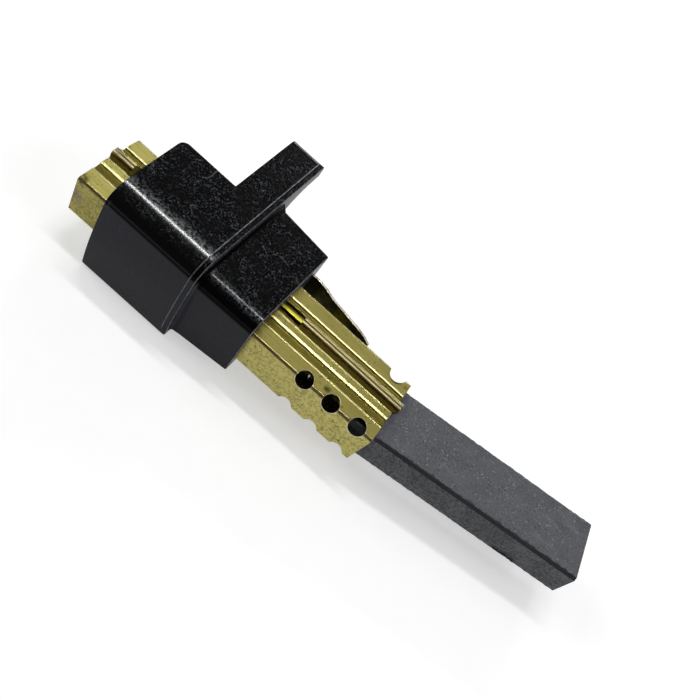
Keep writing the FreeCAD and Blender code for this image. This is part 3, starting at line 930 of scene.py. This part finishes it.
# Painted shade: the leaf turns black towards its root at the plug block
colour = mixed(tree, step_at(tree, along, 22.2, 20.8), colour, leaf_black)
on_cut = ramp(tree, reckon(tree, "ABSOLUTE", parts_of(tree, facing)[2]), 0.6, 0.9)
colour = mixed(tree, on_cut, colour, mixed(tree, fine_tarnish, cut_edge, leaf_olive))
feed(tree, shader.inputs["Base Color"], colour)
feed(tree, shader.inputs["Roughness"], ramp(tree, tarnish, 0, 1, 0.3, 0.5))
shader.inputs["Metallic"].default_value = 1.0
finish_piece(leaf, "holder", ["contact_leaf"], [leaf_brass])

# Carbon: a bar pressed from graphite, ground square, with its long edges broken. Its inner
# end is drilled for the shunt. It slides in the tube and lies a little askew at its mouth.
carbon_length = 43.5
carbon_wide = 11.0
carbon_thick = 6.3
carbon_corner = (36.7, -6.1, 5.05)
carbon_turn = math.radians(8.5)
broken_edge = 0.45
border_slices = 100
chipping_deep = 0.22
shunt_drill = 1.7
shunt_depth = 5.0
chip = (33.3, 0.15, -0.25)
chip_radius = 0.75
chip_depth = 2.2
chip_slant = 86

carbon = block_between("carbon_bar", (0, 0, 0), (carbon_length, carbon_wide, carbon_thick))
round_edges(carbon, lambda a, b: abs(a.x - b.x) > 5, broken_edge, 1)
drill(
    carbon, (0, carbon_wide / 2, carbon_thick / 2), shunt_drill, 2 * shunt_depth,
    (0, math.radians(90), 0),
)
drill(carbon, chip, chip_radius, chip_depth, (0, math.radians(chip_slant), 0))
# The broken edges are chipped, so their borders wander a little
make_active(carbon)
bpy.ops.object.mode_set(mode="EDIT")
for number in range(1, border_slices):
    bpy.ops.mesh.select_all(action="SELECT")
    bpy.ops.mesh.bisect(plane_co=(carbon_length * number / border_slices, 0, 0), plane_no=(1, 0, 0))
bpy.ops.object.mode_set(mode="OBJECT")


def on_border(c):
    at_side = near(c.y, 0) or near(c.y, carbon_wide) or near(c.z, 0) or near(c.z, carbon_thick)
    along_edge = near(c.y, broken_edge) or near(c.y, carbon_wide - broken_edge)
    along_edge = along_edge or near(c.z, broken_edge) or near(c.z, carbon_thick - broken_edge)
    return at_side and along_edge and 0.5 < c.x < carbon_length - 0.2


pick(carbon, "VERT", on_border)
bpy.ops.object.vertex_group_assign_new()
bpy.ops.object.mode_set(mode="OBJECT")
chipping = bpy.data.textures.new("chipping", "CLOUDS")
chipping.noise_scale = 0.5
work(
    carbon, "DISPLACE", texture=chipping, texture_coords="LOCAL", direction="NORMAL",
    strength=-chipping_deep, mid_level=0.42, vertex_group=carbon.vertex_groups[0].name,
)
carbon.rotation_euler = (0, 0, carbon_turn)
carbon.location = carbon_corner
make_active(carbon)
bpy.ops.object.transform_apply(location=True, rotation=True, scale=True)

graphite, tree, shader, place, facing = new_material("carbon")
carbon_grey = (0.108, 0.113, 0.124)
carbon_dark = (0.074, 0.077, 0.086)
face_grey = (0.06, 0.064, 0.071)
streak_grey = (0.15, 0.152, 0.16)
glint_grey = (0.24, 0.245, 0.255)
pore_dark = (0.026, 0.029, 0.034)
border_dark = (0.012, 0.014, 0.017)
chip_dark = (0.004, 0.004, 0.005)
mouth_violet = (0.05, 0.042, 0.07)
painted_tube_shade = (0.014, 0.019, 0.018)
border_wide = (0.66, 0.56)
border_wander = 0.25
along, across, up = parts_of(tree, place)
lying = reckon(tree, "ABSOLUTE", parts_of(tree, facing)[2])
on_wall = ramp(tree, lying, 0.3, 0.1)
mottle = use_group(tree, speckle, Place=place, Scale=330.0, Level=0.4, Softness=0.3)
pores = use_group(tree, speckle, Place=place, Scale=3000.0, Level=0.56, Softness=0.12)
side_grain = use_group(tree, speckle, Place=place, Scale=2200.0, Level=0.48, Softness=0.12)
side_grain = times(tree, side_grain, on_wall)
glints = use_group(tree, speckle, Place=place, Scale=2700.0, Level=0.6, Softness=0.08)
wander = noise(tree, place, 900.0, 3.0)
streak_place = add(
    tree, "ShaderNodeMapping", Vector=place, Rotation=(0, 0, math.radians(-35)), Scale=(0.12, 1, 1)
).outputs["Vector"]
streaks = use_group(tree, speckle, Place=streak_place, Scale=1300.0, Level=0.58, Softness=0.1)

# Mottled grey, darker on the wide faces, with glints, grinding streaks and pores
mottled = mixed(tree, mottle, carbon_grey, carbon_dark)
colour = mixed(tree, step_at(tree, along, 45, 78, 0.75, 0.4), mottled, face_grey)
colour = mixed(tree, on_wall, colour, mottled)
glints = times(tree, glints, ramp(tree, on_wall, 0.0, 1.0, 0.7, 1.0))
colour = mixed(tree, glints, colour, glint_grey)
streaks = times(tree, streaks, step_at(tree, along, 45, 75, 0.1, 0.5))
colour = mixed(tree, streaks, colour, streak_grey)
for mask, strength in ((pores, 0.7), (side_grain, 0.8)):
    colour = mixed(tree, times(tree, mask, strength), colour, pore_dark)

# The broken edges are dark, their border wanders onto the wide side, and a chip is darker still
on_broken_edge = times(tree, ramp(tree, lying, 0.35, 0.5), ramp(tree, lying, 0.97, 0.88))
colour = mixed(tree, on_broken_edge, colour, border_dark)
bar_place = add(
    tree, "ShaderNodeVectorRotate", Vector=place, Center=[n * MM for n in carbon_corner],
    Angle=-carbon_turn,
).outputs["Vector"]
from_side = plus(tree, parts_of(tree, bar_place)[1], -carbon_corner[1] * MM)
shifting = ramp(tree, wander, 0.3, 0.7, -border_wander * MM, border_wander * MM)
from_side = plus(tree, from_side, shifting)
wandering = times(tree, step_at(tree, from_side, *border_wide), ramp(tree, lying, 0.9, 0.97))
colour = mixed(tree, wandering, colour, border_dark)
chipped = 0.0
for spot, reach in (((68.2, -1.4, 5.4), 1.5), ((69.6, -1.2, 5.4), 1.9), ((71.0, -1.0, 5.4), 1.4)):
    chipped = larger(tree, chipped, around(tree, place, spot, reach))
colour = mixed(tree, chipped, colour, chip_dark)

# Soot from the tube marks the carbon violet by its mouth, and inside the tube the carbon is painted dark
# as shade
near_mouth = step_at(tree, along, 44.5, 42.5)
near_mouth = times(tree, near_mouth, ramp(tree, noise(tree, place, 700.0, 2.0), 0.4, 0.6))
colour = mixed(tree, near_mouth, colour, mouth_violet)
colour = mixed(tree, step_at(tree, along, 41.2, 40.2), colour, painted_tube_shade)
feed(tree, shader.inputs["Base Color"], colour)
feed(tree, shader.inputs["Roughness"], ramp(tree, mottle, 0, 1, 0.52, 0.62))
# The pores and the chip take no gloss
without_gloss = times(tree, larger(tree, side_grain, pores), 0.5)
feed(tree, shader.inputs["Metallic"], larger(tree, chipped, without_gloss))
grit = plus(tree, pores, side_grain)
bump = add(tree, "ShaderNodeBump", Strength=0.5, Distance=0.00007, Height=grit)
feed(tree, shader.inputs["Normal"], bump.outputs["Normal"])
finish_piece(carbon, "brush", ["carbon_block"], [graphite])

# Spring: round spring-steel wire coiled round the shunt, which pushes the carbon out of the tube.
spring_radius = 2.45
spring_wire = 0.5
spring_start = -13.9
spring_length = 49.0
spring_turns = 14
wire_pale = (0.85, 0.83, 0.77)
wire_dark = (0.5, 0.47, 0.42)

bpy.ops.object.select_all(action="DESELECT")
bpy.ops.mesh.primitive_circle_add(
    vertices=10, radius=spring_wire / 2, location=(0, 0, spring_radius),
    rotation=(math.radians(90), 0, 0),
)
coil = bpy.context.object
coil.name = "coil_spring"
bpy.ops.object.transform_apply(location=True, rotation=True, scale=True)
work(
    coil, "SCREW", axis="X", angle=math.radians(360), iterations=spring_turns,
    screw_offset=spring_length / spring_turns, steps=28, render_steps=28,
)
open_whole(coil)
bpy.ops.transform.translate(value=(spring_start, 0, axis_high))
bpy.ops.mesh.fill_holes(sides=0)
bpy.ops.object.mode_set(mode="OBJECT")
face_outwards(coil)

spring_steel, tree, shader, place, facing = new_material("spring_steel")
draw_marks = use_group(tree, speckle, Place=place, Scale=2500.0, Level=0.45, Softness=0.3)
colour = mixed(tree, draw_marks, wire_pale, wire_dark)
feed(tree, shader.inputs["Base Color"], colour)
shader.inputs["Metallic"].default_value = 1.0
shader.inputs["Roughness"].default_value = 0.18
finish_piece(coil, "holder", ["brush_spring"], [spring_steel], 60)
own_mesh(coil)

# Shunt: a lead of fine copper strands that runs inside the spring from the weld bead at the
# tube's rear end to the carbon, where a tamped plug holds it.
shunt_radius = 0.55
shunt_sway = 0.65
shunt_waves = 11
shunt_rear = -14.85
shunt_end = (35.69, -0.66)
lead_steps = 60
bead_radius = 1.9
bead_flat = 0.16
copper_bright = (0.5, 0.26, 0.14)
copper_dull = (0.24, 0.11, 0.055)

bpy.ops.object.select_all(action="DESELECT")
bpy.ops.mesh.primitive_circle_add(
    vertices=12, radius=shunt_radius, location=(shunt_rear, 0, axis_high),
    rotation=(0, math.radians(90), 0),
)
lead = bpy.context.object
lead.name = "shunt_lead"
bpy.ops.object.transform_apply(location=True, rotation=True, scale=True)
open_whole(lead)
run = (shunt_end[0] - shunt_rear) / lead_steps
side = 0
for number in range(1, lead_steps + 1):
    share = number / lead_steps
    swing = shunt_sway * math.sin(share * math.pi * shunt_waves) * min(1, 6 * share, 6 * (1 - share))
    there = swing + shunt_end[1] * share
    bpy.ops.mesh.extrude_region_move(TRANSFORM_OT_translate={"value": (run, there - side, 0)})
    side = there
bpy.ops.mesh.select_all(action="SELECT")
bpy.ops.mesh.fill_holes(sides=0)
bpy.ops.object.mode_set(mode="OBJECT")
face_outwards(lead)
bpy.ops.object.select_all(action="DESELECT")
bpy.ops.mesh.primitive_uv_sphere_add(
    segments=20, ring_count=10, radius=bead_radius, location=(shunt_rear, 0, axis_high),
    scale=(bead_flat, 1, 1),
)
bead = bpy.context.object
bpy.ops.object.transform_apply(location=True, rotation=True, scale=True)
join(lead, bead)

copper, tree, shader, place, facing = new_material("copper")
strands = use_group(tree, speckle, Place=place, Scale=1800.0, Level=0.4, Softness=0.3)
colour = mixed(tree, strands, copper_bright, copper_dull)
feed(tree, shader.inputs["Base Color"], colour)
shader.inputs["Metallic"].default_value = 1.0
shader.inputs["Roughness"].default_value = 0.4
finish_piece(lead, "holder", ["shunt_wire"], [copper], 60)
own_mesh(lead)

# Shunt plug: copper powder tamped round the lead in the carbon's drilled end. The modelled
# solid stays, and only takes its finish here.
plug_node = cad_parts["shunt_plug"]
plug_node.data.materials.clear()
plug_node.data.materials.append(copper)

# Floor, light and camera: a table of white paper under soft studio lamps. They hang over the
# far side and stand to the left and right, and the camera looks down at the front as in the photo.
floor_size = 6.0
paper_white = (0.6, 0.6, 0.6)
fibre_grey = (0.585, 0.585, 0.585)
paper_glow = 0.52
room_light = 0.05
rear_spot = (-0.05, 0, 0.01)
middle_spot = (0.03, 0, 0.01)
camera_place = (0.028505, -0.083542, 0.11604)
camera_turn = (31.3931, -26.1445, 34.2277)
camera_lens = 45.8608

bpy.ops.object.select_all(action="DESELECT")
bpy.ops.mesh.primitive_plane_add(size=floor_size)
floor = bpy.context.object
floor.name = "table"
paper, tree, shader, place, facing = new_material("paper")
fibres = use_group(tree, speckle, Place=place, Scale=300.0, Level=0.4, Softness=0.3)
feed(tree, shader.inputs["Base Color"], mixed(tree, fibres, paper_white, fibre_grey))
shader.inputs["Roughness"].default_value = 0.9
shader.inputs["Specular IOR Level"].default_value = 0.1
# The paper shows white to the eye and in reflections, and still takes the brush's shadow
rays = tree.nodes.new("ShaderNodeLightPath").outputs
seen = larger(tree, rays["Is Camera Ray"], rays["Is Glossy Ray"])
seen = larger(tree, seen, rays["Is Transmission Ray"])
feed(tree, shader.inputs["Emission Strength"], times(tree, seen, paper_glow))
shader.inputs["Emission Color"].default_value = (1, 1, 1, 1)
floor.data.materials.append(paper)

world = bpy.data.worlds.new("studio")
world.use_nodes = True
bpy.context.scene.world = world
tree = world.node_tree
back = tree.nodes["Background"]
back.inputs["Color"].default_value = (1, 1, 1, 1)
back.inputs["Strength"].default_value = room_light


def lamp(name, spot, aim, size, power):
    # Hangs a flat lamp at the spot and turns it to its aim, in metres, with power in watts
    bpy.ops.object.light_add(type="AREA", location=spot)
    light = bpy.context.object
    light.name = name
    light.data.shape = "RECTANGLE"
    light.data.size = size[0]
    light.data.size_y = size[1]
    light.data.energy = power
    away = [b - a for a, b in zip(spot, aim)]
    length = math.sqrt(sum(n * n for n in away))
    pitch = math.acos(-away[2] / length)
    turn = math.atan2(away[1], away[0]) - math.pi / 2
    light.rotation_euler = (pitch, 0, turn)


lamp("rear_box", (0.03, 0.45, 0.5), middle_spot, (0.8, 0.35), 0.46)
lamp("top_strip", (-0.05, 0.157, 0.68), rear_spot, (0.36, 0.03), 1.7)
lamp("low_strip", (-0.05, 0.6, 0.36), rear_spot, (0.36, 0.025), 0.9)
lamp("left_box", (-0.6, 0, 0.45), middle_spot, (0.4, 0.4), 2.0)
lamp("right_box", (0.66, 0, 0.45), middle_spot, (0.4, 0.4), 2.0)

bpy.ops.object.camera_add(location=camera_place, rotation=[math.radians(a) for a in camera_turn])
camera = bpy.context.object
camera.data.sensor_width = 36
camera.data.lens = camera_lens
camera.data.clip_start = 0.005
bpy.context.scene.camera = camera

bpy.context.scene.view_settings.view_transform = "Standard"
